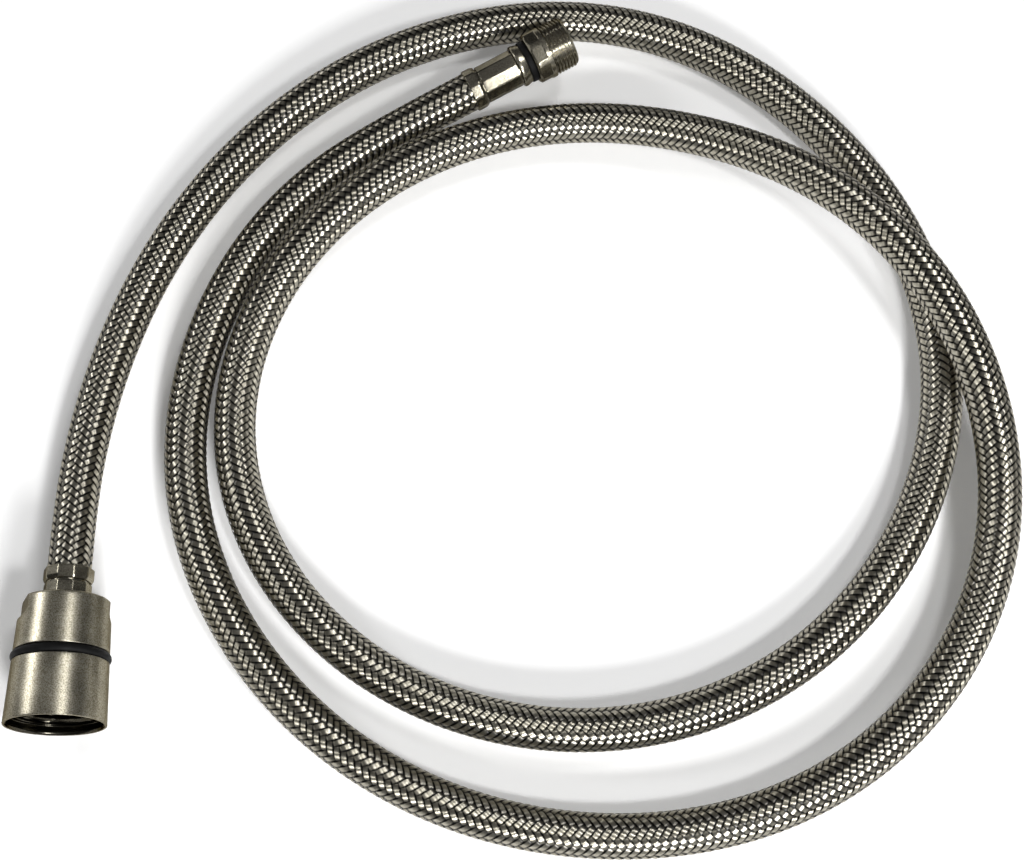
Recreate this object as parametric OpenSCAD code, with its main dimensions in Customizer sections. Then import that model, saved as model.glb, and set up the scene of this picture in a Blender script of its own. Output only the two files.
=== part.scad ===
// Braided spray hose with a swivel coupling at one end and a swivel male union at the other.
// Millimetres, +Z up. The hose lies on z = 0, and the origin is under the middle of the two fittings.

/* [Hose] */
// Outside diameter over the wire braid
hose_d = 11.5; // [11.3:0.05:11.6]
// Thickness of the wire braid
braid_t = 0.7; // [0.5:0.05:0.8]
// Wall of the water tube under the braid
tube_t = 1.0; // [0.9:0.05:1.1]
// Size of the hose where a ferrule crimps it, as a share of its free size
crimp = 0.84; // [0.83:0.005:0.85]

/* [Coupling] */
// Length of the coupling nut
nut_len = 32.3; // [31:0.1:34]
// Radius of the nut at its hose end
nut_top_r = 11.55; // [11.5:0.05:11.8]
// Radius of the nut at its mouth
nut_mouth_r = 12.75; // [12.7:0.05:13]
// Radius of the female G1/2 thread at its crests
g_half_r = 9.32; // [9.3:0.01:9.34]
// Distance across the two wrench flats
nut_flats = 20.6; // [20.4:0.1:21.2]
// Turn of the wrench flats from upright
nut_turn = -27; // [-45:1:45]

/* [Union] */
// Outside radius of the male M15 x 1 thread
m15_r = 7.45; // [7.4:0.01:7.48]
// Radius of the round body behind the thread
union_r = 7.65; // [7.6:0.05:7.9]
// Distance across the eight wrench flats
union_flats = 14.6; // [14.4:0.1:14.8]
// Turn of the wrench flats' edges about the union's axis
union_turn = 2; // [-22:1:22]
// Radius of the journal that the union turns on
journal_r = 4.6; // [4.55:0.01:4.62]

/* [Hidden] */
$fn = 64;
nickel = [0.62, 0.59, 0.53];
wire = [0.55, 0.53, 0.47];
brass = [0.72, 0.56, 0.28];
black = [0.05, 0.05, 0.05];
white = [0.9, 0.9, 0.88];

// Clearances
fit = 0.06;  // running fit, on radius
play = 0.05; // end play, and room between pieces that are pressed together

// The hose's route. Each point is [x, y, lift], where lift is the height above the lying hose.
// The curve is a uniform cubic B-spline, so it passes near its points and not through them.
hose_route = [
    [-57, 3, 0], [-43, 39, 0], [-17, 74, 0], [20, 100, 0], [64, 111, 0], [106, 104, 0],
    [143, 78, 0], [169, 41, 0], [178, -2, 0], [167, -45, 0], [140, -80, 0], [100, -101, 0],
    [55, -103, 0], [13, -86, 0], [-17, -52, 0], [-25, -9, 0], [-9, 32, 3], [25, 61, 5],
    [67, 75, 2], [109, 70, 4], [146, 49, 13], [174, 16, 15], [188, -25, 8], [183, -67, 3],
    [158, -103, 1], [120, -125, 0], [75, -130, 0], [31, -120, 0], [-7, -94, 0], [-32, -55, 0],
    [-37, -13, 0], [-26, 25, 0], [-7, 52, 0]
];
tube_sides = 12;     // an even number, with a flat side down
rings_per_point = 2; // a ring about every 2 diameters
gap_steps = 4;       // points measured on each stretch between two rings
end_step = 30;       // spacing of the three points in line that start and end the route
crimp_run = 1.5;     // length over which the hose narrows inside a ferrule
hose_r = hose_d / 2;
tube_r = hose_r - braid_t - play;
bore_r = tube_r - tube_t;
side_share = cos(180 / tube_sides); // distance to a side as a share of distance to a corner
lying_z = hose_r * side_share;
barb_crest = bore_r * crimp * side_share - play; // barbed tails that hold the hose's inside
barb_root = barb_crest - 0.4;

// Both ferrules are pressed to flats in the same tool
crimp_sides = 10;

// Coupling, along its axis from the ferrule's mouth
ferrule_show = 8.6;     // length of ferrule in view
coupling_ferrule_len = 10.1;
coupling_grip = 9.6;    // length of hose inside the ferrule
coupling_crimp_turn = -11;
coupling_band = [6.45, 12.4, 3.6]; // radius over the corners, distance across the flats, length
coupling_neck = [6.1, 11.7];       // radius over the corners, distance across the flats
lip_r = 6.75;           // bore of the lip that holds the nut on the stem
lip_end = ferrule_show + 4.5;
slip_t = 0.8;
head_start = lip_end + slip_t + 2 * play;
head_end = 26.4;
head_r = 9;
cavity_r = 9.2;
coupling_seal_t = 2;
relief = [26.8, 28.6];  // start and end of the relief behind the thread
relief_r = 10.4;
mouth = ferrule_show + nut_len;
counterbore_r = 11.6;
counterbore = 2.4;
lead_in = 0.8;
edge = 0.5;
o_ring = 1.2;           // radius of the O-ring's section
o_ring_at = ferrule_show + 15.1;
o_ring_r = 11.4;        // radius of the O-ring's centre line
nut_flat_len = 4.6;
nut_slope = (nut_mouth_r - nut_top_r) / nut_len;

// Union, along its axis from the ferrule's mouth
union_ferrule_len = 15;
union_grip = 13.5;
union_crimp_turn = 0;
union_band = [6.15, 11.9, 3.6]; // radius over the corners, distance across the flats, length
union_sleeve = [5.5, 10.6];     // radius over the corners, distance across the flats
collar = [15.35, 18];   // start and end of the stem's collar
collar_r = [6.2, 5.75]; // its radius at either end
union_ring_r = 6.1;
union_start = 20;
union_flat_end = 23.8;
thread_start = 25.2;
union_end = 32.5;
tip_chamfer = 0.8;
ring_seat = 27.2;       // step in the union's bore, which the retaining ring keeps it on by
union_cavity_r = 5.5;
journal_end = 29;
retaining_t = 0.8;
journal_seals = [21.9, 24.6];
journal_seal = 0.6;     // radius of the seals' section
waterway_r = 2;

// Where the two fittings lie
coupling_pitch = 7.5;   // the mouth is raised
coupling_yaw = -87.8;
coupling_start = [
    -61.8, -60.4,
    (nut_top_r + edge * nut_slope) * cos(coupling_pitch)
        - (ferrule_show + edge) * sin(coupling_pitch)
];
union_pitch = 7;
union_yaw = 27;
union_at = [42.7, 81.6, 10.3];

function unit(v) = v / norm(v);
function heading(yaw, pitch) =
    [cos(pitch) * cos(yaw), cos(pitch) * sin(yaw), sin(pitch)];
coupling_way = heading(coupling_yaw, coupling_pitch);
union_way = heading(union_yaw, union_pitch);

// Control points: three in line at either end, so that the hose leaves each ferrule straight
points = concat(
    [for (k = [1, 0, -1]) coupling_start + k * end_step * coupling_way],
    [for (p = hose_route) [p.x, p.y, lying_z + p.z]],
    [for (k = [-1, 0, 1]) union_at + k * end_step * union_way]
);
spans = len(points) - 3;

// Weights of the four points that shape a span at f from 0 to 1, and their slopes
function weights(f) = [
    pow(1 - f, 3), 3 * pow(f, 3) - 6 * f * f + 4, -3 * pow(f, 3) + 3 * f * f + 3 * f + 1, pow(f, 3)
] / 6;
function slopes(f) = [-pow(1 - f, 2), 3 * f * f - 4 * f, -3 * f * f + 2 * f + 1, f * f] / 2;
function span_of(t) = min(floor(t), spans - 1);
function four(t) = [for (k = [0:3]) points[span_of(t) + k]];
function route_at(t) = weights(t - span_of(t)) * four(t);
function way_at(t) = unit(slopes(t - span_of(t)) * four(t));

// Rings of the hose as [centre, direction, size]: a crimped pair, the free hose, a crimped pair
ring_count = spans * rings_per_point;
rings = concat(
    [for (d = [coupling_grip, crimp_run]) [coupling_start + d * coupling_way, -coupling_way, crimp]],
    [for (i = [0:ring_count]) [route_at(i / rings_per_point), way_at(i / rings_per_point), 1]],
    [for (d = [crimp_run, union_grip]) [union_at + d * union_way, union_way, crimp]]
);

// One round of points about a ring's centre, the first side's flat facing down
function round_of(ring, r) =
    let (side = unit(cross([0, 0, 1], ring[1])), up = cross(ring[1], side))
    [for (k = [0:tube_sides - 1])
        let (a = (k + 0.5) * 360 / tube_sides)
        ring[0] + r * ring[2] * (cos(a) * side + sin(a) * up)];

// Triangles between two rounds of points, which start at a and b
function band(a, b) = [
    for (k = [0:tube_sides - 1])
        let (n = (k + 1) % tube_sides)
        for (tri = [[a + k, a + n, b + n], [a + k, b + n, b + k]]) tri
];
function flipped(faces) = [for (f = faces) [f[2], f[1], f[0]]];

// A hollow tube through the rings
module tube(outer_r, inner_r) {
    last = len(rings) - 1;
    inner = len(rings) * tube_sides;
    polyhedron(
        points = concat(
            [for (ring = rings) each round_of(ring, outer_r)],
            [for (ring = rings) each round_of(ring, inner_r)]
        ),
        faces = concat(
            [for (i = [0:last - 1]) each flipped(band(i * tube_sides, (i + 1) * tube_sides))],
            [for (i = [0:last - 1]) each band(inner + i * tube_sides, inner + (i + 1) * tube_sides)],
            band(0, inner),
            flipped(band(last * tube_sides, inner + last * tube_sides))
        ),
        convexity = 10
    );
}

// Least gap between two stretches of hose that are not neighbours, measured along the tube's sides
free_rings = [for (i = [0:ring_count]) route_at(i / rings_per_point)];
marks = [
    for (i = [0:ring_count - 1], k = [0:gap_steps - 1])
        free_rings[i] + (free_rings[i + 1] - free_rings[i]) * k / gap_steps
];
apart = 3 * rings_per_point * gap_steps;
least_gap = min([
    for (i = [0:len(marks) - 1 - apart])
        min([for (j = [i + apart:len(marks) - 1]) norm(marks[i] - marks[j])])
]) - hose_d;
echo(least_gap_of_hose_to_itself = least_gap);

// Places for the two fittings: their own +Z runs out of the hose
module at_coupling() {
    translate(coupling_start) rotate([0, 90 - coupling_pitch, coupling_yaw]) children();
}
module at_union() {
    translate(union_at) rotate([0, 90 - union_pitch, union_yaw]) children();
}

// A solid of revolution with a round bore
module ring_solid(inner_r, outer_r, from, to) {
    rotate_extrude() translate([inner_r, from]) square([outer_r - inner_r, to - from]);
}

// The room for the hose in a ferrule, flared where the hose narrows
module crimp_bore(length) {
    narrow = hose_r * crimp + play;
    translate([0, 0, -1]) cylinder(r = narrow, h = length + 2);
    rotate_extrude()
        polygon([[0, -play], [hose_r + play, -play], [narrow, crimp_run], [0, crimp_run]]);
}

// A barbed tail from its tip to its shoulder
module barbed_tail(tip, shoulder) {
    barbs = 3;
    pitch = (shoulder - tip - 1) / barbs;
    rotate_extrude() polygon(concat(
        [[0, tip]],
        [for (i = [0:barbs - 1]) each [
            [barb_root, tip + i * pitch],
            [barb_crest, tip + (i + 0.8) * pitch],
            [barb_root, tip + (i + 0.85) * pitch]
        ]],
        [[barb_root, shoulder], [0, shoulder]]
    ));
}

module braid_sleeve() {
    color(wire) tube(hose_r, hose_r - braid_t);
}

module inner_tube() {
    color(white) tube(tube_r, bore_r);
}

// A round sleeve pressed to flats in a crimping tool, with one flat facing +X
module crimped(r, flats, from, to) {
    turn = 180 / crimp_sides;
    translate([0, 0, from]) intersection() {
        cylinder(r = r, h = to - from);
        rotate([0, 0, turn]) cylinder(d = flats / cos(turn), h = to - from, $fn = crimp_sides);
    }
}

// Band, groove and neck, all with ten flats
module coupling_ferrule() {
    groove = 0.6;
    groove_end = coupling_band[2] + groove;
    color(nickel) at_coupling() difference() {
        rotate([0, 0, coupling_crimp_turn]) {
            crimped(coupling_band[0], coupling_band[1], 0, coupling_band[2]);
            cylinder(r = coupling_neck[1] / 2 - 0.15, h = groove_end + edge);
            crimped(coupling_neck[0], coupling_neck[1], groove_end, coupling_ferrule_len);
        }
        crimp_bore(coupling_ferrule_len);
    }
}

// Barbed tail, neck through the nut's lip, and the long head that the nut turns round
module coupling_stem() {
    neck_start = coupling_ferrule_len + play;
    color(brass) at_coupling() difference() {
        union() {
            barbed_tail(crimp_run, coupling_grip + play);
            translate([0, 0, coupling_grip + play])
                cylinder(r = hose_r * crimp - play, h = neck_start - coupling_grip - play);
            translate([0, 0, neck_start]) cylinder(r = lip_r - fit, h = head_start - neck_start);
            translate([0, 0, head_start]) cylinder(r = head_r, h = head_end - head_start);
        }
        cylinder(r = waterway_r, h = head_end + 1);
        translate([0, 0, neck_start + 3]) cylinder(r = 2 * waterway_r, h = head_end);
    }
}

// Ring between the nut's lip and the stem's head
module coupling_slip_ring() {
    color(white) at_coupling()
        ring_solid(lip_r, head_r, lip_end + play, lip_end + play + slip_t);
}

// Round nut that widens to its mouth, bored for the stem's head and threaded for a spray head
module coupling_nut() {
    groove = o_ring + 0.1;
    function body_r(z) = nut_top_r + (z - ferrule_show) * nut_slope;
    color(nickel) at_coupling() difference() {
        rotate_extrude() polygon([
            [lip_r, ferrule_show],
            [nut_top_r - edge, ferrule_show],
            [body_r(ferrule_show + edge), ferrule_show + edge],
            [body_r(o_ring_at - groove), o_ring_at - groove],
            [o_ring_r - o_ring - play, o_ring_at - groove],
            [o_ring_r - o_ring - play, o_ring_at + groove],
            [body_r(o_ring_at + groove), o_ring_at + groove],
            [body_r(mouth), mouth],
            [counterbore_r + edge, mouth],
            [counterbore_r, mouth - edge],
            [counterbore_r, mouth - counterbore],
            [g_half_r + lead_in, mouth - counterbore],
            [g_half_r, mouth - counterbore - lead_in],
            [g_half_r, relief[1]],
            [relief_r, relief[1]],
            [relief_r, relief[0]],
            [cavity_r, relief[0]],
            [cavity_r, lip_end],
            [lip_r, lip_end]
        ]);
        rotate([0, 0, nut_turn]) for (side = [-1, 1])
            translate([-nut_mouth_r, side * (nut_flats / 2 + nut_mouth_r / 2) - nut_mouth_r / 2,
                       ferrule_show - 1])
                cube([2 * nut_mouth_r, nut_mouth_r, nut_flat_len + 1]);
    }
}

// Black ring in the groove round the nut
module coupling_o_ring() {
    color(black) at_coupling() translate([0, 0, o_ring_at])
        rotate_extrude() translate([o_ring_r, 0]) circle(r = o_ring, $fn = 32);
}

// Flat washer on the stem's head
module coupling_seal() {
    color(black) at_coupling()
        ring_solid(2 * waterway_r + 1, head_r - 0.2, head_end, head_end + coupling_seal_t);
}

// Band, groove and long sleeve, all with ten flats
module union_ferrule() {
    groove = 0.4;
    groove_end = union_band[2] + groove;
    color(nickel) at_union() difference() {
        rotate([0, 0, union_crimp_turn]) {
            crimped(union_band[0], union_band[1], 0, union_band[2]);
            cylinder(r = union_sleeve[1] / 2 - 0.1, h = groove_end + edge);
            crimped(union_sleeve[0], union_sleeve[1], groove_end, union_ferrule_len);
        }
        crimp_bore(union_ferrule_len);
    }
}

// Barbed tail, collar, and the journal with its grooves for two seals and the retaining ring
module union_stem() {
    color(brass) at_union() difference() {
        union() {
            barbed_tail(crimp_run, union_grip + play);
            translate([0, 0, union_grip + play])
                cylinder(r = hose_r * crimp - play, h = collar[0] - union_grip - play);
            rotate_extrude() polygon([
                [0, collar[0]], [collar_r[0] - 0.3, collar[0]], [collar_r[0], collar[0] + 0.3],
                [collar_r[0], collar[0] + 0.9], [collar_r[1], collar[1]], [0, collar[1]]
            ]);
            translate([0, 0, collar[1]]) cylinder(r = journal_r, h = journal_end - collar[1]);
        }
        translate([0, 0, crimp_run - 1]) cylinder(r = waterway_r, h = journal_end);
        for (z = journal_seals)
            ring_solid(
                journal_r + fit - 2 * journal_seal - 2 * play, journal_r + 1,
                z - journal_seal - play, z + journal_seal + play
            );
        ring_solid(
            journal_r - 0.5, journal_r + 1, ring_seat + play / 2, ring_seat + retaining_t + 1.5 * play
        );
    }
}

// Black ring between the collar and the union
module union_slip_ring() {
    color(black) at_union()
        ring_solid(journal_r + fit, union_ring_r, collar[1] + play, union_start - play);
}

// Chamfered round body with eight wrench flats, shoulder and male thread, bored for the journal
module union_body() {
    chamfer = 0.7;
    overlap = 0.5;
    color(nickel) at_union() intersection() {
        rotate_extrude() polygon([
            [journal_r + fit, union_start],
            [union_r - chamfer, union_start],
            [union_r, union_start + chamfer],
            [union_r, thread_start],
            [m15_r, thread_start],
            [m15_r, union_end - tip_chamfer],
            [m15_r - tip_chamfer, union_end],
            [union_cavity_r, union_end],
            [union_cavity_r, ring_seat],
            [journal_r + fit, ring_seat]
        ]);
        union() {
            rotate([0, 0, union_turn])
                cylinder(d = union_flats / cos(22.5), h = union_flat_end + overlap, $fn = 8);
            translate([0, 0, union_flat_end]) cylinder(r = 2 * union_r, h = union_end);
        }
    }
}

// Two O-rings in the journal's grooves
module union_journal_seals() {
    color(black) at_union() for (z = journal_seals)
        translate([0, 0, z]) rotate_extrude()
            translate([journal_r + fit - journal_seal - play, 0]) circle(r = journal_seal, $fn = 24);
}

// Split ring in the journal's outer groove
module union_retaining_ring() {
    split = 2;
    color(wire) at_union() difference() {
        ring_solid(
            journal_r - 0.45, union_cavity_r - 0.2, ring_seat + play, ring_seat + play + retaining_t
        );
        translate([0, -split / 2, ring_seat - 1]) cube([union_cavity_r, split, retaining_t + 3]);
    }
}

braid_sleeve();
inner_tube();
coupling_ferrule();
coupling_stem();
coupling_slip_ring();
coupling_nut();
coupling_o_ring();
coupling_seal();
union_ferrule();
union_stem();
union_slip_ring();
union_body();
union_journal_seals();
union_retaining_ring();
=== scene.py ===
"""Braided spray hose with a swivel coupling at one end and a swivel union at the other.

+Z up. The fittings and the hose are worked out in millimetres, and every mesh is in metres.
Each fitting is drawn along its own axis, from the mouth of the ferrule that holds the hose,
in the same sizes as the solids, and then placed where it lies.
"""
import math

import bpy
import numpy as np
from mathutils import Euler, Matrix, Vector


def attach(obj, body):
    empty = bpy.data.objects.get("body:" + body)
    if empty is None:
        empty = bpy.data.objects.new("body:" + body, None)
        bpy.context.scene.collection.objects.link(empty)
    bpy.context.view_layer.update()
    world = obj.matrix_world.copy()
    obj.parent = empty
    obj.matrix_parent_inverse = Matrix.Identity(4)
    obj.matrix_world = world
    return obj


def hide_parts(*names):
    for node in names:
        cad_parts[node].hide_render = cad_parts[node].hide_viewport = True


MM = 0.001

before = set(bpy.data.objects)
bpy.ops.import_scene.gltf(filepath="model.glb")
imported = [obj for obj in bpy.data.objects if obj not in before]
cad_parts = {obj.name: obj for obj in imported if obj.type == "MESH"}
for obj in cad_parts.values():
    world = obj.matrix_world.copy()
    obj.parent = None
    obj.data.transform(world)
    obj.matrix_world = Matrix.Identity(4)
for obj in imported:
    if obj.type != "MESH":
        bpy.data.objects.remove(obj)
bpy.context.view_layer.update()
scene = bpy.context.scene

# ---------------------------------------------------------------- camera

IMAGE_WIDTH = 1024
FOCAL_PX = 1400
SENSOR_MM = 36
CAMERA_AT = (0.055, -0.130, 0.37506)
CAMERA_TILT = 16.5     # degrees from straight down


def make_camera():
    """Look down at the loops from a little in front of them."""
    data = bpy.data.cameras.new("camera")
    data.sensor_width = SENSOR_MM
    data.lens = SENSOR_MM * FOCAL_PX / IMAGE_WIDTH
    data.clip_start = 0.01
    camera = bpy.data.objects.new("camera", data)
    camera.location = CAMERA_AT
    camera.rotation_euler = (math.radians(CAMERA_TILT), 0, 0)
    scene.collection.objects.link(camera)
    scene.camera = camera


make_camera()

# ---------------------------------------------------------------- the hose's route

HOSE_R = 5.75
END_STEP = 30          # spacing of the three points in line at either end
SPAN_STEPS = 100       # steps in which each span of the route is followed
LOOK = 0.5             # distance ahead and behind over which the hose's direction is taken
# Each point is x, y and the lift above the lying hose
ROUTE = [
    (-57, 3, 0), (-43, 39, 0), (-17, 74, 0), (20, 100, 0), (64, 111, 0), (106, 104, 0),
    (143, 78, 0), (169, 41, 0), (178, -2, 0), (167, -45, 0), (140, -80, 0), (100, -101, 0),
    (55, -103, 0), (13, -86, 0), (-17, -52, 0), (-25, -9, 0), (-9, 32, 3), (25, 61, 5),
    (67, 75, 2), (109, 70, 4), (146, 49, 13), (174, 16, 15), (188, -25, 8), (183, -67, 3),
    (158, -103, 1), (120, -125, 0), (75, -130, 0), (31, -120, 0), (-7, -94, 0), (-32, -55, 0),
    (-37, -13, 0), (-26, 25, 0), (-7, 52, 0),
]


def heading(yaw, pitch):
    """Unit vector at these angles in degrees."""
    yaw, pitch = math.radians(yaw), math.radians(pitch)
    return np.array([
        math.cos(pitch) * math.cos(yaw), math.cos(pitch) * math.sin(yaw), math.sin(pitch)
    ])


COUPLING_YAW, COUPLING_PITCH = -87.8, 7.5
UNION_YAW, UNION_PITCH = 27, 7
COUPLING_START = np.array([-61.8, -60.4, 10.2818])
UNION_START = np.array([42.7, 81.6, 10.3])
COUPLING_WAY = heading(COUPLING_YAW, COUPLING_PITCH)
UNION_WAY = heading(UNION_YAW, UNION_PITCH)


def hose_line():
    """Points close together along the hose's centre line, and how far along it each one is."""
    points = np.array(
        [COUPLING_START + k * END_STEP * COUPLING_WAY for k in (1, 0, -1)]
        + [(x, y, HOSE_R + lift) for x, y, lift in ROUTE]
        + [UNION_START + k * END_STEP * UNION_WAY for k in (-1, 0, 1)]
    )
    spans = len(points) - 3
    t = np.linspace(0, spans, spans * SPAN_STEPS + 1)
    i = np.minimum(t.astype(int), spans - 1)
    f = t - i
    weights = np.stack([
        (1 - f) ** 3, 3 * f ** 3 - 6 * f ** 2 + 4, -3 * f ** 3 + 3 * f ** 2 + 3 * f + 1, f ** 3
    ]) / 6
    line = sum(weights[k][:, None] * points[i + k] for k in range(4))
    along = np.concatenate([[0], np.cumsum(np.linalg.norm(np.diff(line, axis=0), axis=1))])
    return line, along


LINE, ALONG = hose_line()
HOSE_LENGTH = ALONG[-1]


def hose_at(s):
    """Centre, side and up of the hose at s along it, straight beyond its ends."""
    inside = np.clip(s, 0, HOSE_LENGTH)
    centre = np.stack([np.interp(inside, ALONG, LINE[:, k]) for k in range(3)], -1)
    ahead = np.clip(inside + LOOK, 0, HOSE_LENGTH)
    behind = np.clip(inside - LOOK, 0, HOSE_LENGTH)
    way = np.stack([
        np.interp(ahead, ALONG, LINE[:, k]) - np.interp(behind, ALONG, LINE[:, k])
        for k in range(3)
    ], -1)
    way /= np.linalg.norm(way, axis=-1, keepdims=True)
    centre = centre + (s - inside)[..., None] * way
    side = np.cross([0, 0, 1], way)
    side /= np.linalg.norm(side, axis=-1, keepdims=True)
    return centre, side, np.cross(way, side)


# ---------------------------------------------------------------- materials

WHITE = (1, 1, 1, 1)
WIRES = 7                          # wires side by side in a bundle
WARM = (1.0, 0.94, 0.77)           # tint of the nickel
DARK_EDGE = (0.25, 0.23, 0.20, 1)  # tint of what metal mirrors at a glancing angle


class Nodes:
    """A short way to write a tree of shader nodes."""

    def __init__(self, tree):
        self.tree = tree

    def add(self, kind, inputs=None, **settings):
        """New node. Each input is a value or the output of another node."""
        node = self.tree.nodes.new(kind)
        for key, value in settings.items():
            setattr(node, key, value)
        for key, value in (inputs or {}).items():
            self.put(node.inputs[key], value)
        return node

    def put(self, socket, value):
        """Set a socket to a value, or link it to another node's output."""
        if isinstance(value, bpy.types.NodeSocket):
            self.tree.links.new(value, socket)
        else:
            socket.default_value = value

    def math(self, operation, *values):
        """Result of a sum, product or other operation on numbers."""
        node = self.add("ShaderNodeMath", operation=operation)
        for socket, value in zip(node.inputs, values):
            self.put(socket, value)
        return node.outputs[0]

    def noise(self, scale, detail=3, stretch=(1, 1, 1)):
        """Noise in the piece's own space. scale counts waves per metre."""
        where = self.add("ShaderNodeTexCoord").outputs["Object"]
        mapping = self.add("ShaderNodeMapping", {"Vector": where, "Scale": stretch})
        return self.add(
            "ShaderNodeTexNoise",
            {"Vector": mapping.outputs[0], "Scale": scale, "Detail": detail},
        ).outputs["Fac"]

    def ramp(self, value, stops):
        """Colour that follows stops of (value, colour)."""
        node = self.add("ShaderNodeValToRGB", {"Fac": value})
        elements = node.color_ramp.elements
        while len(elements) < len(stops):
            elements.new(0.5)
        for element, (position, colour) in zip(elements, stops):
            element.position = position
            element.color = (*colour, 1)
        return node.outputs["Color"]

    def multiply(self, a, b):
        """Product of two colours."""
        return self.add(
            "ShaderNodeMix", {0: 1.0, 6: a, 7: b}, data_type="RGBA", blend_type="MULTIPLY"
        ).outputs[2]

    def blend(self, a, b, share):
        """Colour between two. share is how much of b it has."""
        return self.add("ShaderNodeMix", {0: share, 6: a, 7: b}, data_type="RGBA").outputs[2]

    def spread(self, value, low, high, start=0, end=1):
        """Rescale a value from start..end to low..high."""
        return self.add("ShaderNodeMapRange", {
            "Value": value, "From Min": start, "From Max": end, "To Min": low, "To Max": high
        }).outputs["Result"]

    def bump(self, height, distance, strength):
        """Normal of bumps up to a distance high, in metres."""
        inputs = {"Height": height, "Distance": distance, "Strength": strength}
        return self.add("ShaderNodeBump", inputs).outputs["Normal"]


class Finish(Nodes):
    """A material, and its shader's inputs by name."""

    def __init__(self, name):
        self.material = bpy.data.materials.new(name)
        self.material.use_nodes = True
        super().__init__(self.material.node_tree)
        self.shader = self.tree.nodes["Principled BSDF"]

    def set(self, **inputs):
        for key, value in inputs.items():
            self.put(self.shader.inputs[key.replace("_", " ")], value)


def wire_material():
    """Flat bundles of fine steel wires, which shine across the wires, with painted shade in the
    creases between the wires, along each bundle's edges and where a bundle passes under others.
    """
    nodes = Finish("braid_wire")
    uv = nodes.add("ShaderNodeUVMap", uv_map="UVMap").outputs[0]
    across = nodes.add("ShaderNodeSeparateXYZ", {0: uv}).outputs["X"]
    part = nodes.math("FRACT", nodes.math("MULTIPLY", across, WIRES))
    from_top = nodes.math("MULTIPLY", nodes.math("SUBTRACT", part, 0.5), 2)
    round_top = nodes.math("SUBTRACT", 1, nodes.math("MULTIPLY", from_top, from_top))
    tone = nodes.ramp(nodes.noise(900, detail=2), [
        (0.3, (0.40, 0.375, 0.30)), (0.55, (0.52, 0.49, 0.405)), (0.8, (0.66, 0.63, 0.545))
    ])
    # Painted shade: darker in the creases between the wires of a bundle.
    groove = nodes.ramp(round_top, [(0.0, (0.55, 0.53, 0.48)), (0.5, (1, 1, 1))])
    height = nodes.add("ShaderNodeAttribute", attribute_name="height").outputs["Fac"]
    # Painted shade: near black, by its height, where a bundle passes under others.
    painted_dip_shade = nodes.ramp(height, [(0.3, (0.012, 0.011, 0.009)), (0.8, (1, 1, 1))])
    # Painted shade: near black along each bundle's edges, where it runs down under its neighbours.
    from_middle = nodes.math("MULTIPLY", nodes.math("SUBTRACT", across, 0.5), 2)
    inwards = nodes.math("SUBTRACT", 1, nodes.math("ABSOLUTE", from_middle))
    painted_edge_shade = nodes.ramp(inwards, [(0.0, (0.02, 0.018, 0.014)), (0.36, (1, 1, 1))])
    tangent = nodes.add("ShaderNodeTangent", direction_type="UV_MAP", uv_map="UVMap")
    nodes.set(
        Base_Color=nodes.multiply(nodes.multiply(tone, groove), nodes.multiply(painted_dip_shade, painted_edge_shade)),
        Metallic=1.0,
        Specular_Tint=DARK_EDGE,
        Roughness=nodes.spread(nodes.noise(300), 0.33, 0.39),
        Anisotropic=1.0,
        Tangent=tangent.outputs[0],
        Coat_Weight=0.5,
        Coat_Roughness=0.28,
        Normal=nodes.bump(round_top, 0.00004, 0.2),
    )
    return nodes.material


def liner_material():
    """The dark inside of the braid, seen in the gaps between the bundles."""
    nodes = Finish("braid_shadow")
    nodes.set(
        Base_Color=nodes.ramp(
            nodes.noise(700), [(0.3, (0.002, 0.002, 0.0015)), (0.7, (0.008, 0.0075, 0.006))]
        ),
        Metallic=0.0,
        Roughness=nodes.spread(nodes.noise(1500), 0.55, 0.8),
    )
    return nodes.material


def nickel_material(name, tone, roughness, grain):
    """Warm satin nickel. tone and roughness are (low, high), and grain is its pits' depth."""
    nodes = Finish(name)
    pits = nodes.noise(3200)
    worn = nodes.noise(120, detail=5)
    shade = nodes.ramp(pits, [(0.36, (0.48, 0.46, 0.40)), (0.62, (1.1, 1.1, 1.1))])
    dark, light = [tuple(share * level for share in WARM) for level in tone]
    nodes.set(
        Base_Color=nodes.multiply(nodes.ramp(worn, [(0.35, dark), (0.7, light)]), shade),
        Metallic=1.0,
        Specular_Tint=DARK_EDGE,
        Roughness=nodes.spread(worn, *roughness),
        Normal=nodes.bump(pits, grain, 0.8),
    )
    return nodes.material


def brass_material():
    """Turned brass with fine rings round the axis."""
    nodes = Finish("turned_brass")
    turned = nodes.noise(1, detail=4, stretch=(60, 60, 2500))
    nodes.set(
        Base_Color=nodes.ramp(
            nodes.noise(150), [(0.3, (0.55, 0.38, 0.16)), (0.7, (0.78, 0.60, 0.30))]
        ),
        Metallic=1.0,
        Roughness=nodes.spread(turned, 0.2, 0.45),
        Normal=nodes.bump(turned, 0.00001, 0.7),
    )
    return nodes.material


def rubber_material():
    """Black moulded rubber with a dull shine."""
    nodes = Finish("black_rubber")
    nodes.set(
        Base_Color=nodes.ramp(
            nodes.noise(500), [(0.3, (0.002, 0.002, 0.002)), (0.7, (0.006, 0.006, 0.006))]
        ),
        Roughness=nodes.spread(nodes.noise(900), 0.5, 0.7),
        Specular_IOR_Level=0.12,
        Normal=nodes.bump(nodes.noise(6000, detail=2), 0.00001, 0.4),
    )
    return nodes.material


def plastic_material():
    """White acetal."""
    nodes = Finish("white_plastic")
    nodes.set(
        Base_Color=nodes.ramp(
            nodes.noise(200), [(0.3, (0.70, 0.69, 0.65)), (0.7, (0.82, 0.81, 0.77))]
        ),
        Roughness=nodes.spread(nodes.noise(800), 0.35, 0.5),
        Normal=nodes.bump(nodes.noise(3000), 0.00001, 0.4),
    )
    return nodes.material


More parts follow.
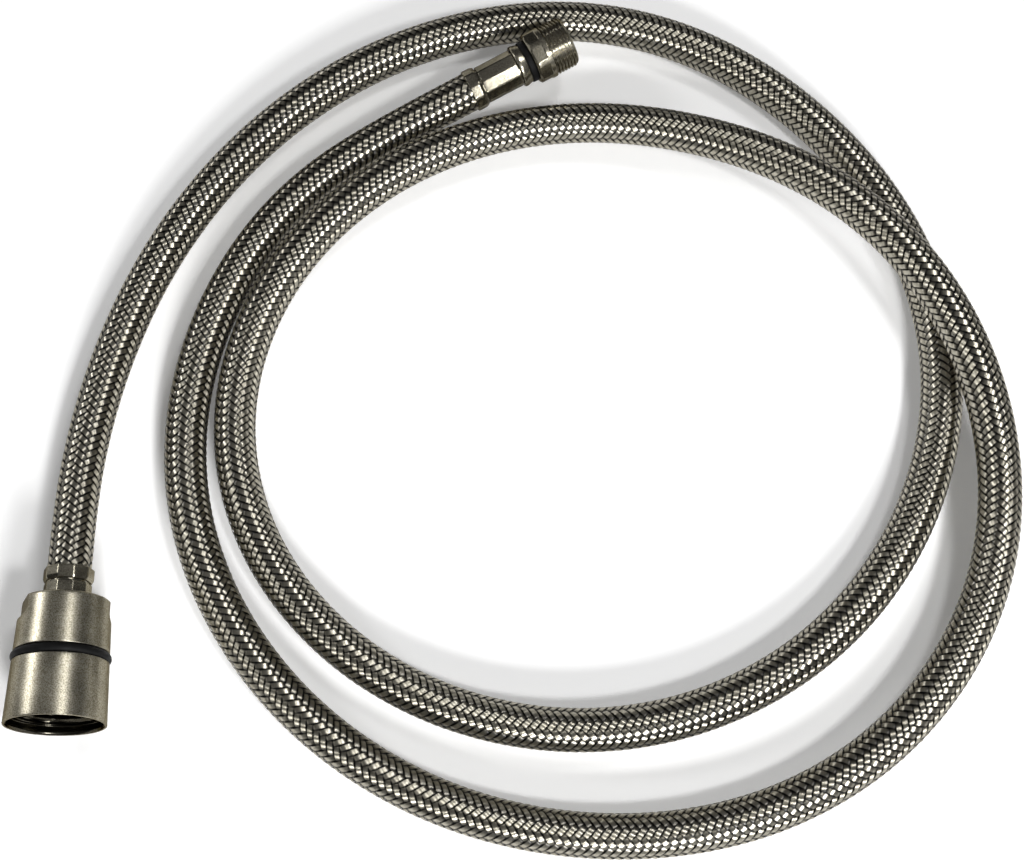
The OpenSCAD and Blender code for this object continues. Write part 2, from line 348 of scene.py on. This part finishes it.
WIRE = wire_material()
LINER = liner_material()
NICKEL = nickel_material("satin_nickel", (0.32, 0.48), (0.29, 0.40), 0.000010)
PRESSED = nickel_material("pressed_nickel", (0.28, 0.46), (0.20, 0.29), 0.000006)
# Near-black nickel for the inside of the coupling nut: painted shade in its mouth, thread and
# bore.
PAINTED_SHADE_NICKEL = nickel_material("nickel_painted_shade", (0.05, 0.11), (0.16, 0.24), 0.000005)
BRASS = brass_material()
RUBBER = rubber_material()
PLASTIC = plastic_material()

# ---------------------------------------------------------------- mesh helpers

RING_STEP = 0.8        # spacing of the rings of vertices on a plain wall
LEAD = 0.2             # how far before the end of a flat the rings get close
SHARP_ANGLE = 38       # degrees from which an edge of a turned piece stays sharp


def new_piece(name, vertices, faces, materials, body, sharp_degrees=None):
    """Make a smooth object of a mesh in metres, and hang it on a CAD body."""
    mesh = bpy.data.meshes.new(name)
    mesh.from_pydata([tuple(v) for v in vertices], [], faces)
    for material in materials:
        mesh.materials.append(material)
    mesh.polygons.foreach_set("use_smooth", [True] * len(mesh.polygons))
    if sharp_degrees:
        mesh.set_sharp_from_angle(angle=math.radians(sharp_degrees))
    mesh.update()
    piece = bpy.data.objects.new(name, mesh)
    scene.collection.objects.link(piece)
    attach(piece, body)
    return piece


def stand_for(piece, slot, *nodes):
    """Let a piece take the place of CAD nodes, which are hidden. slot, the finish of a material
    slot, is not used.
    """
    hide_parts(*nodes)
    return piece


def place(start, yaw, pitch):
    """Matrix that takes a fitting's own +Z, in metres, to where the fitting lies."""
    turn = Euler((0, math.radians(90 - pitch), math.radians(yaw))).to_matrix().to_4x4()
    return Matrix.Translation(Vector(start) * MM) @ turn


AT_COUPLING = place(COUPLING_START, COUPLING_YAW, COUPLING_PITCH)
AT_UNION = place(UNION_START, UNION_YAW, UNION_PITCH)


def soften(profile, radius=0.12, steps=3):
    """Round the corners of a closed profile of (z, r) points, within its short sides."""
    share = 0.4
    points = np.array(profile, float)
    rounded = []
    for before, corner, after in zip(np.roll(points, 1, 0), points, np.roll(points, -1, 0)):
        back, ahead = before - corner, after - corner
        reach = min(radius, share * np.linalg.norm(back), share * np.linalg.norm(ahead))
        start = corner + reach * back / np.linalg.norm(back)
        end = corner + reach * ahead / np.linalg.norm(ahead)
        for k in range(steps + 1):
            f = k / steps
            rounded.append((1 - f) ** 2 * start + 2 * f * (1 - f) * corner + f * f * end)
    return np.array(rounded)


def fill_in(profile, step_at):
    """Add points along each side of a closed profile. step_at(z, r) gives their spacing."""
    filled = []
    for a, b in zip(profile, np.roll(profile, -1, 0)):
        length = np.linalg.norm(b - a)
        done = 0
        while done < length:
            point = a + (b - a) * done / length
            filled.append(point)
            done += step_at(*point)
    return np.array(filled)


def lathe(name, profile, material, body, at, shape=None, segments=144, extra=(), inner=None):
    """Turn a closed profile round the fitting's axis.

    shape(angle, z, r) may change the radius. extra holds more angles to put vertices at.
    inner is the material past the profile's highest z, on the way back to its start.
    """
    angles = np.unique(np.concatenate([
        np.arange(segments) * 2 * math.pi / segments, np.mod(extra, 2 * math.pi)
    ]))
    z = np.repeat(profile[:, :1], len(angles), 1)
    r = np.repeat(profile[:, 1:], len(angles), 1)
    angle = np.repeat(angles[None], len(profile), 0)
    if shape:
        r = shape(angle, z, r)
    vertices = np.stack([r * np.cos(angle), r * np.sin(angle), z], -1).reshape(-1, 3) * MM
    rings, count = len(profile), len(angles)
    faces = [
        (
            i * count + k, i * count + (k + 1) % count,
            (i + 1) % rings * count + (k + 1) % count, (i + 1) % rings * count + k
        )
        for i in range(rings) for k in range(count)
    ]
    piece = new_piece(
        name, vertices, faces, [material, inner or material], body, SHARP_ANGLE
    )
    if inner:
        end = rings - np.argmax(profile[::-1, 0])
        piece.data.polygons.foreach_set(
            "material_index", np.repeat(np.arange(rings) >= end, count).astype(int)
        )
    piece.matrix_world = at
    return piece


def across_flats(angle, r, flats, sides, turn):
    """Radius of a round body with flats. turn is the angle of one flat in degrees."""
    sector = 2 * math.pi / sides
    from_flat = (angle - math.radians(turn) + sector / 2) % sector - sector / 2
    return np.minimum(r, flats / 2 / np.cos(from_flat))


def flat_corners(r, flats, sides, turn):
    """Angles at which each flat begins and ends, so that its edges are sharp."""
    half = min(math.acos(min(1, flats / 2 / r)), math.pi / sides)
    return [
        math.radians(turn) + 2 * math.pi * k / sides + way * half
        for k in range(sides) for way in (-1, 1)
    ]


def thread(angle, z, pitch, depth):
    """Height of a right-hand thread above its root.

    Crest, root and each flank take a quarter of the pitch.
    """
    turn = (z / pitch - angle / (2 * math.pi)) % 1
    return depth * np.clip(1.5 - 4 * np.abs(turn - 0.5), 0, 1)


def fade(z, start, end, run):
    """1 between start and end, falling to 0 over a run inside both."""
    return np.clip(np.minimum(z - start, end - z) / run, 0, 1)


# ---------------------------------------------------------------- braided hose

LAY = 26.4             # length in which a bundle goes once round
CARRIERS = 12          # bundles that wind each way
CROSSING = LAY / (2 * CARRIERS)  # length of hose from one crossing to the next
BUNDLE = 1.50          # width of a bundle
SLICES = (-0.5, 0, 0.5)  # where a bundle has vertices, as shares of its width
CROWN = 0.10           # how far a bundle's edges lie below its middle
WEAVE = 0.20           # half the step between passing over and passing under
REPEAT = 4             # crossings in which a bundle passes over two others and under two
OTHER_WAY = 3          # crossings by which the pattern of the second way is shifted
# Where a bundle bends, in crossings, and how high it is there, from 0 under to 1 over
BENDS = ((-0.4, 0.45), (0.05, 0.88), (0.5, 1), (0.95, 0.88), (1.4, 0.45), (1.75, 0), (3.25, 0))
TUCK = 1.4             # length of hose that shows inside a ferrule's mouth
CRIMP = 0.16           # share of its radius that the hose loses in a ferrule
CRIMP_RUN = 1.5        # length over which it narrows
LINER_R = 4.7
LINER_SIDES = 16
LINER_STEP = 12        # spacing of the liner's rings of vertices


def squeezed(s):
    """Share of its full size that the hose keeps where a ferrule grips it."""
    inside = np.maximum(-s, s - HOSE_LENGTH)
    return 1 - CRIMP * np.clip(inside / CRIMP_RUN, 0, 1)


def braid_surface(s, angle, r):
    """Points at these angles and radii round the hose, s along it."""
    centre, side, up = hose_at(s)
    r = (r * squeezed(s))[..., None]
    return centre + r * (np.cos(angle)[..., None] * side + np.sin(angle)[..., None] * up)


def make_bundle(way, carrier):
    """Grid of points of a bundle that winds one way (1) or the other (-1), its uv and heights."""
    column = math.pi / CARRIERS
    crossings = math.ceil((HOSE_LENGTH + 2 * TUCK) / CROSSING)
    tilt = math.atan2(2 * math.pi * (HOSE_R - WEAVE), LAY)
    slices = np.array(SLICES)
    offset = slices[None] * BUNDLE
    first_over = way * ((0 if way == 1 else OTHER_WAY) - 2 * carrier) % REPEAT
    bends = np.array([
        (start + first_over + at, over)
        for start in range(-2 * REPEAT, crossings + REPEAT, REPEAT) for at, over in BENDS
    ])
    bends = bends[(bends[:, 0] > 0) & (bends[:, 0] < crossings)]
    places, over = bends[:, :1], bends[:, 1:]
    s = np.clip(-TUCK + places * CROSSING, -TUCK, HOSE_LENGTH + TUCK)
    r = HOSE_R - 2 * WEAVE * (1 - over) - CROWN * (2 * slices[None]) ** 2
    angle = (2 * carrier + way * places) * column + way * offset * math.cos(tilt) / HOSE_R
    grid = braid_surface(s - offset * math.sin(tilt), angle, r) * MM
    uv = np.stack(np.broadcast_arrays(slices[None] + 0.5, places), -1)
    return grid, uv.reshape(-1, 2), np.repeat(over, len(slices))


def make_liner():
    """Rings of points of the dark tube inside the braid."""
    spots = np.linspace(-TUCK, HOSE_LENGTH + TUCK, round(HOSE_LENGTH / LINER_STEP))
    turns = np.arange(LINER_SIDES) * 2 * math.pi / LINER_SIDES
    return braid_surface(
        np.repeat(spots[:, None], LINER_SIDES, 1), np.repeat(turns[None], len(spots), 0),
        np.full((len(spots), LINER_SIDES), LINER_R)
    ) * MM


def make_braid():
    """Twelve flat bundles of wire each way, over two and under two, round a dark liner."""
    vertices, faces, uvs, heights = [], [], [], []
    wide = len(SLICES)
    for way in (1, -1):
        for carrier in range(CARRIERS):
            grid, uv, height = make_bundle(way, carrier)
            first = len(vertices)
            vertices += list(grid.reshape(-1, 3))
            uvs.append(uv)
            heights.append(height)
            for k in range(len(grid) - 1):
                for j in range(wide - 1):
                    a = first + k * wide + j
                    quad = (a, a + wide, a + wide + 1, a + 1)
                    faces.append(quad if way == -1 else quad[::-1])
    bundle_faces = len(faces)

    grid = make_liner()
    first = len(vertices)
    vertices += list(grid.reshape(-1, 3))
    uvs.append(np.zeros((grid.size // 3, 2)))
    heights.append(np.zeros(grid.size // 3))
    for k in range(len(grid) - 1):
        for j in range(LINER_SIDES):
            a = first + k * LINER_SIDES + j
            b = first + k * LINER_SIDES + (j + 1) % LINER_SIDES
            faces.append((a, b, b + LINER_SIDES, a + LINER_SIDES))

    piece = new_piece("hose_braid", vertices, faces, [WIRE, LINER], "hose")
    mesh = piece.data
    mesh.polygons.foreach_set(
        "material_index", [0] * bundle_faces + [1] * (len(faces) - bundle_faces)
    )
    corners = np.zeros(len(mesh.loops), int)
    mesh.loops.foreach_get("vertex_index", corners)
    layer = mesh.uv_layers.new(name="UVMap")
    layer.data.foreach_set("uv", np.concatenate(uvs)[corners].ravel())
    height = mesh.attributes.new("height", "FLOAT", "POINT")
    height.data.foreach_set("value", np.concatenate(heights))
    return stand_for(piece, "steel_braid", "braid_sleeve", "inner_tube")


braid = make_braid()

# ---------------------------------------------------------------- ferrules

CRIMP_SIDES = 10
CRIMP_BORE = [(1.5, 4.88), (0, 5.82)]  # the room for the hose as (z, r), flared at the mouth
COUPLING_CRIMP_TURN = -11
UNION_CRIMP_TURN = 0
BAND = 3.6                             # length of either ferrule's band
BAND_CHAMFER = (0.9, 0.35)             # its length and depth
GROOVE_DEPTH = 0.3                     # below the neck's flats
EDGE = 0.05                            # run of the steep step into the groove
MARGIN = 0.02                          # keeps the groove's floor round


def make_ferrule(name, node, at, turn, band, neck, groove, length):
    """Band, groove and neck pressed to ten flats. band and neck are (corner radius, flats)."""
    chamfer, chamfer_depth = BAND_CHAMFER
    groove_r = neck[1] / 2 - GROOVE_DEPTH
    neck_start = BAND + groove
    profile = fill_in(soften([
        (0, band[0]), (BAND - chamfer, band[0]), (BAND, band[0] - chamfer_depth),
        (BAND + EDGE, groove_r), (neck_start - 2 * EDGE, groove_r), (neck_start, neck[0]),
        (length, neck[0]), (length, CRIMP_BORE[0][1]), *CRIMP_BORE
    ], radius=0.16), lambda z, r: RING_STEP)

    def shape(angle, z, r):
        on_band = across_flats(angle, r, band[1] - 2 * (band[0] - r), CRIMP_SIDES, turn)
        on_neck = across_flats(angle, r, neck[1] - 2 * (neck[0] - r), CRIMP_SIDES, turn)
        outside = r > groove_r + MARGIN
        return np.where(outside, np.where(z < BAND + EDGE, on_band, on_neck), r)

    piece = lathe(
        name, profile, PRESSED, "hose", at, shape,
        extra=flat_corners(*neck, CRIMP_SIDES, turn) + flat_corners(*band, CRIMP_SIDES, turn)
    )
    return stand_for(piece, "brushed_nickel", node)


make_ferrule(
    "coupling_ferrule_shell", "coupling_ferrule", AT_COUPLING, COUPLING_CRIMP_TURN,
    band=(6.45, 12.4), neck=(6.1, 11.7), groove=0.6, length=10.1
)
union_ferrule = make_ferrule(
    "union_ferrule_shell", "union_ferrule", AT_UNION, UNION_CRIMP_TURN,
    band=(6.15, 11.9), neck=(5.5, 10.6), groove=0.4, length=15
)

# ---------------------------------------------------------------- stems' tails

STEM_START = 1.5       # end of the tail, inside the hose
WATERWAY_R = 2
TAIL_R = 2.75
PLUG_R = 4.78          # step that closes the ferrule's far end
FIT = 0.06             # running fit, on radius


def tail(plug_start):
    """Start of a stem's profile, up to the outside of its plug."""
    return [
        (STEM_START, WATERWAY_R), (STEM_START, TAIL_R), (plug_start, TAIL_R), (plug_start, PLUG_R)
    ]


# ---------------------------------------------------------------- coupling

NUT_TOP, NUT_TOP_R = 8.6, 11.55
NUT_MOUTH, NUT_MOUTH_R = 40.9, 12.75
NUT_CHAMFER = 0.5
NUT_FLATS = 20.6
NUT_FLAT_END = 12.2
NUT_TURN = 63          # angle of one wrench flat
CUTTER_R = 2.4         # radius that the wrench flats run out in
LIP_R = 6.75
LIP_END = 13.1
CAVITY_R = 9.2
OUTSIDE_R = 10         # near the wrench flats, all that is wider is the nut's outside
RELIEF = (26.8, 28.6)
RELIEF_R = 10.4
COUNTERBORE_R = 11.6
COUNTERBORE_FLOOR = 38.5
RING_AT, RING_R, RING_SECTION = 23.7, 11.4, 1.2
GROOVE_ROOM = (0.1, 0.05)  # room for the O-ring at either side of it and under it
HEAD_R = 9.0
HEAD_START, HEAD_END = 14.0, 26.4
G_PITCH = 1.814
G_DEPTH = 1.08
THREAD_BAND = (9.9, 11)  # radii between which only the thread lies
THREAD_FADE = 1.2      # length over which the thread starts and ends
FINE_STEP = 0.16       # spacing of the rings on the thread and where the flats run out
PLUG = (9.65, 10.15)   # where the stem's plug starts and ends
THROAT = (13.15, 4)    # start and radius of the wide part of the stem's waterway
WASHER_T = 2
WASHER_BORE_R = 5
WASHER_INSET = 0.2     # how far its edge lies inside the head's


def nut_r(z):
    """Radius of the nut's tapered outside."""
    return NUT_TOP_R + (z - NUT_TOP) * (NUT_MOUTH_R - NUT_TOP_R) / (NUT_MOUTH - NUT_TOP)


def nut_step(z, r):
    """Close rings on the thread and where the wrench flats run out, and wide ones elsewhere."""
    inner, outer = THREAD_BAND
    on_thread = z > RELIEF[1] and inner < r < outer
    on_run_out = NUT_FLAT_END - LEAD < z < NUT_FLAT_END + CUTTER_R and r > outer
    return FINE_STEP if on_thread or on_run_out else RING_STEP


def make_coupling_nut():
    """Tapered nut with two wrench flats, a groove for the O-ring and a threaded mouth."""
    groove_half = RING_SECTION + GROOVE_ROOM[0]
    groove_start, groove_end = RING_AT - groove_half, RING_AT + groove_half
    groove_r = RING_R - RING_SECTION - GROOVE_ROOM[1]
    thread_start = RELIEF[1]
    profile = fill_in(soften([
        (NUT_TOP, LIP_R), (NUT_TOP, NUT_TOP_R - NUT_CHAMFER),
        (NUT_TOP + NUT_CHAMFER, nut_r(NUT_TOP + NUT_CHAMFER)),
        (groove_start, nut_r(groove_start)), (groove_start, groove_r),
        (groove_end, groove_r), (groove_end, nut_r(groove_end)),
        (NUT_MOUTH, NUT_MOUTH_R), (NUT_MOUTH, COUNTERBORE_R + NUT_CHAMFER),
        (NUT_MOUTH - NUT_CHAMFER, COUNTERBORE_R), (COUNTERBORE_FLOOR, COUNTERBORE_R),
        (COUNTERBORE_FLOOR, RELIEF_R), (RELIEF[0], RELIEF_R), (RELIEF[0], CAVITY_R),
        (LIP_END, CAVITY_R), (LIP_END, LIP_R)
    ], radius=0.2), nut_step)

    def shape(angle, z, r):
        inner, outer = THREAD_BAND
        threaded = (z > thread_start) & (z < COUNTERBORE_FLOOR) & (r < outer) & (r > inner)
        height = thread(angle, z, G_PITCH, G_DEPTH)
        cut = height * fade(z, thread_start, COUNTERBORE_FLOOR, THREAD_FADE)
        r = np.where(threaded, RELIEF_R - cut, r)
        past = np.clip(z - NUT_FLAT_END, 0, CUTTER_R)
        rise = CUTTER_R - np.sqrt(CUTTER_R ** 2 - past ** 2)
        flats = across_flats(angle, r, NUT_FLATS + 2 * rise, 2, NUT_TURN)
        return np.where((r > OUTSIDE_R) & (z < NUT_FLAT_END + CUTTER_R), flats, r)

    # Past its mouth, the inside of the nut takes the near-black nickel, which is painted shade.
    piece = lathe(
        "coupling_nut_shell", profile, NICKEL, "coupling", AT_COUPLING, shape, segments=180,
        extra=flat_corners(NUT_TOP_R, NUT_FLATS, 2, NUT_TURN), inner=PAINTED_SHADE_NICKEL
    )
    stand_for(piece, "brushed_nickel", "coupling_nut")


def make_coupling_ring(steps=24):
    """The O-ring in the nut's groove."""
    turns = np.arange(steps) * 2 * math.pi / steps
    profile = np.stack([
        RING_AT - RING_SECTION * np.cos(turns), RING_R + RING_SECTION * np.sin(turns)
    ], -1)
    ring = lathe("coupling_nut_ring", profile, RUBBER, "coupling", AT_COUPLING)
    stand_for(ring, "black_rubber", "coupling_o_ring")


def make_coupling_washer():
    """The flat washer on the stem's head."""
    end, r = HEAD_END + WASHER_T, HEAD_R - WASHER_INSET
    profile = soften(
        [(HEAD_END, WASHER_BORE_R), (HEAD_END, r), (end, r), (end, WASHER_BORE_R)], radius=0.3
    )
    washer = lathe("coupling_washer", profile, RUBBER, "hose", AT_COUPLING)
    stand_for(washer, "black_rubber", "coupling_seal")


def make_coupling_stem():
    """Tail in the hose, neck, and the head that the nut turns round."""
    plug_start, plug_end = PLUG
    throat_start, throat_r = THROAT
    neck_r = LIP_R - FIT
    profile = soften([
        *tail(plug_start), (plug_end, PLUG_R), (plug_end, neck_r), (HEAD_START, neck_r),
        (HEAD_START, HEAD_R), (HEAD_END, HEAD_R), (HEAD_END, throat_r),
        (throat_start, throat_r), (throat_start, WATERWAY_R)
    ])
    stem = lathe("coupling_stem_turned", profile, BRASS, "hose", AT_COUPLING, segments=96)
    stand_for(stem, "brass", "coupling_stem")


make_coupling_nut()
make_coupling_ring()
make_coupling_washer()
make_coupling_stem()

# ---------------------------------------------------------------- union

UNION_PLUG_START = 13.55
COLLAR = [(15.35, 5.9), (15.65, 6.2), (16.25, 6.2), (18, 5.75)]  # (z, r), slightly flared
JOURNAL_R = 4.6
JOURNAL_BORE = 4.66    # turns on the journal with the same running fit
JOURNAL_END = 29
SEAL_GROOVES = ((21.25, 22.55), (23.95, 25.25))
SEAL_GROOVE_R = 3.4
SNAP_GROOVE = (27.2, 28.1)
SNAP_GROOVE_R = 4.1
SLIP_RING = (18.05, 19.95)
SLIP_RING_R = 6.1
UNION_BACK, UNION_END = 20, 32.5
UNION_R = 7.65
UNION_CHAMFER = 0.7
UNION_FLATS = 14.6
UNION_SIDES = 8
UNION_TURN = 24.5      # angle of one wrench flat
UNION_FLAT_END = 23.8
UNION_RUN_OUT = 3      # how much wider the flats get for each millimetre past their end
UNION_CAVITY_R = 5.5
THREAD_START = 25.2
FLATS_TO = THREAD_START - 0.15     # the step down to the thread's root lies
THREAD_FROM = THREAD_START + 0.05  # between these two
THREAD_ROOT = 6.85
M15_R = 7.45
M15_PITCH = 1.0
TIP_START = 31.6
TIP_SLOPE = 0.9
BODY_SKIN_R = 6        # on the body's flats and shoulder, all that is wider is its outside
THREAD_SKIN_R = 6.5    # the same along its thread
BODY_STEPS = (0.1, 0.6)  # spacing of the rings along the thread, and elsewhere


def make_union_stem():
    """Collar with a slight flare, and the journal that the union turns on."""
    grooves = [(*groove, SEAL_GROOVE_R) for groove in SEAL_GROOVES]
    grooves.append((*SNAP_GROOVE, SNAP_GROOVE_R))
    journal = [
        point
        for start, end, r in grooves
        for point in ((start, JOURNAL_R), (start, r), (end, r), (end, JOURNAL_R))
    ]
    profile = soften([
        *tail(UNION_PLUG_START), (COLLAR[0][0], PLUG_R), *COLLAR, (COLLAR[-1][0], JOURNAL_R),
        *journal, (JOURNAL_END, JOURNAL_R), (JOURNAL_END, WATERWAY_R)
    ])
    piece = lathe("union_stem_turned", profile, PRESSED, "hose", AT_UNION, segments=96)
    return stand_for(piece, "brushed_nickel", "union_stem")


def make_union_ring():
    """The black ring between the collar and the union."""
    start, end = SLIP_RING
    profile = soften([
        (start, JOURNAL_BORE), (start, SLIP_RING_R), (end, SLIP_RING_R), (end, JOURNAL_BORE)
    ], radius=0.35)
    piece = lathe("union_ring", profile, RUBBER, "hose", AT_UNION, segments=96)
    return stand_for(piece, "black_rubber", "union_slip_ring")


def body_step(z, r):
    """Close rings outside from the end of the flats onwards, and wide ones elsewhere."""
    fine, wide = BODY_STEPS
    return fine if z > UNION_FLAT_END - LEAD and r > BODY_SKIN_R else wide


def make_union_body():
    """Eight wrench flats, a round shoulder and a fine male thread."""
    seat = SNAP_GROOVE[0]
    profile = fill_in(soften([
        (UNION_BACK, JOURNAL_BORE), (UNION_BACK, UNION_R - UNION_CHAMFER),
        (UNION_BACK + UNION_CHAMFER, UNION_R), (UNION_FLAT_END, UNION_R),
        (THREAD_START, UNION_R), (THREAD_START, THREAD_ROOT), (UNION_END, THREAD_ROOT),
        (UNION_END, UNION_CAVITY_R), (seat, UNION_CAVITY_R), (seat, JOURNAL_BORE)
    ]), body_step)

    def shape(angle, z, r):
        run_out = UNION_RUN_OUT * np.clip(z - UNION_FLAT_END, 0, 1)
        flats = across_flats(angle, r, UNION_FLATS + run_out, UNION_SIDES, UNION_TURN)
        r = np.where((r > BODY_SKIN_R) & (z < FLATS_TO), flats, r)
        crest = THREAD_ROOT + thread(angle, z, M15_PITCH, M15_R - THREAD_ROOT)
        tip = M15_R - np.maximum(z - TIP_START, 0) * TIP_SLOPE
        on_thread = (z > THREAD_FROM) & (r > THREAD_SKIN_R)
        return np.where(on_thread, np.minimum(crest, tip), r)

    piece = lathe(
        "union_body_shell", profile, PRESSED, "union", AT_UNION, shape, segments=160,
        extra=flat_corners(UNION_R, UNION_FLATS, UNION_SIDES, UNION_TURN)
    )
    return stand_for(piece, "brushed_nickel", "union_body")


def finish_cad_node(name, material):
    """Give a node that is kept from the CAD its material."""
    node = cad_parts[name]
    node.data.materials.clear()
    node.data.materials.append(material)
    return node


union_pieces = [union_ferrule, make_union_stem(), make_union_ring(), make_union_body()]
finish_cad_node("coupling_slip_ring", PLASTIC)
union_pieces += [
    finish_cad_node("union_journal_seals", RUBBER),
    finish_cad_node("union_retaining_ring", NICKEL),
]

# ---------------------------------------------------------------- floor and light

FLOOR_HALF = 3.0         # half the floor's width in metres
FLOOR_Z = -0.0002        # just under the hose
FLOOR_GLOW = 0.16        # light that the floor adds where it is seen or mirrored
FLOOR_FADE = (0.4, 0.9)  # distances in metres over which the floor turns plain white
AMBIENT = 0.45           # brightness of the world as a light
# Height of the view above the horizon, from 0 to 1, and its brightness
CEILING = [(0.01, 1.0), (0.07, 0.15), (0.35, 0.04), (0.7, 0.10), (1.0, 0.22)]
AIM = (0.05, 0, 0)
LAMP_DISTANCE = 1.2
LAMPS = [
    # name, direction, size, level
    ("front", (0.26, -0.81, 0.53), 0.22, 0.90),
    ("right", (0.45, -0.42, 0.79), 0.16, 0.42),
    ("back", (0.39, 0.32, 0.86), 0.24, 0.22),
    ("left", (-0.80, 0.32, 0.50), 0.20, 0.22),
]


def ways_seen(nodes):
    """Whether a ray comes from the camera, and whether it comes off or through a surface."""
    path = nodes.add("ShaderNodeLightPath").outputs
    mirrored = nodes.math("MAXIMUM", path["Is Glossy Ray"], path["Is Transmission Ray"])
    return path["Is Camera Ray"], mirrored


def make_floor():
    """A white floor that shows white to the camera and keeps the shadows."""
    nodes = Finish("floor_white")
    camera, mirrored = ways_seen(nodes)
    seen = nodes.math("MAXIMUM", camera, mirrored)
    spot = nodes.add("ShaderNodeTexCoord").outputs["Object"]
    away = nodes.add("ShaderNodeVectorMath", {0: spot}, operation="LENGTH").outputs["Value"]
    far = nodes.spread(away, 0, 1, *FLOOR_FADE)
    glow = nodes.math(
        "ADD", nodes.math("MULTIPLY", seen, FLOOR_GLOW), nodes.math("MULTIPLY", camera, far)
    )
    nodes.set(
        Base_Color=(0.9, 0.9, 0.9, 1),
        Roughness=0.9,
        Specular_IOR_Level=0.1,
        Emission_Color=WHITE,
        Emission_Strength=glow,
    )
    mesh = bpy.data.meshes.new("floor")
    corners = [(-1, -1), (1, -1), (1, 1), (-1, 1)]
    mesh.from_pydata(
        [(x * FLOOR_HALF, y * FLOOR_HALF, FLOOR_Z) for x, y in corners], [], [(0, 1, 2, 3)]
    )
    mesh.materials.append(nodes.material)
    floor = bpy.data.objects.new("floor", mesh)
    scene.collection.objects.link(floor)


def make_world():
    """White to the camera. Metal mirrors a white horizon under a dark ceiling."""
    world = bpy.data.worlds.new("studio")
    world.use_nodes = True
    scene.world = world
    nodes = Nodes(world.node_tree)
    around = nodes.add("ShaderNodeTexCoord").outputs["Generated"]
    up = nodes.add("ShaderNodeSeparateXYZ", {0: around}).outputs["Z"]
    ceiling = nodes.ramp(up, [(height, (grey, grey, grey)) for height, grey in CEILING])
    camera, mirrored = ways_seen(nodes)
    level = nodes.spread(mirrored, AMBIENT, 1)
    background = nodes.tree.nodes["Background"].inputs
    nodes.put(background["Color"], nodes.blend(ceiling, WHITE, camera))
    nodes.put(background["Strength"], nodes.spread(camera, level, 1))


def make_lamp(name, direction, size, level):
    """Square lamp. level is the brightness it alone gives a white card that faces it."""
    data = bpy.data.lights.new(name, "AREA")
    data.shape = "SQUARE"
    data.size = size
    data.energy = level * (math.pi * LAMP_DISTANCE) ** 2
    lamp = bpy.data.objects.new(name, data)
    way = Vector(direction).normalized()
    lamp.location = Vector(AIM) + way * LAMP_DISTANCE
    lamp.rotation_euler = way.to_track_quat("Z", "Y").to_euler()
    scene.collection.objects.link(lamp)


make_floor()
make_world()
for lamp in LAMPS:
    make_lamp(*lamp)

scene.view_settings.view_transform = "Standard"
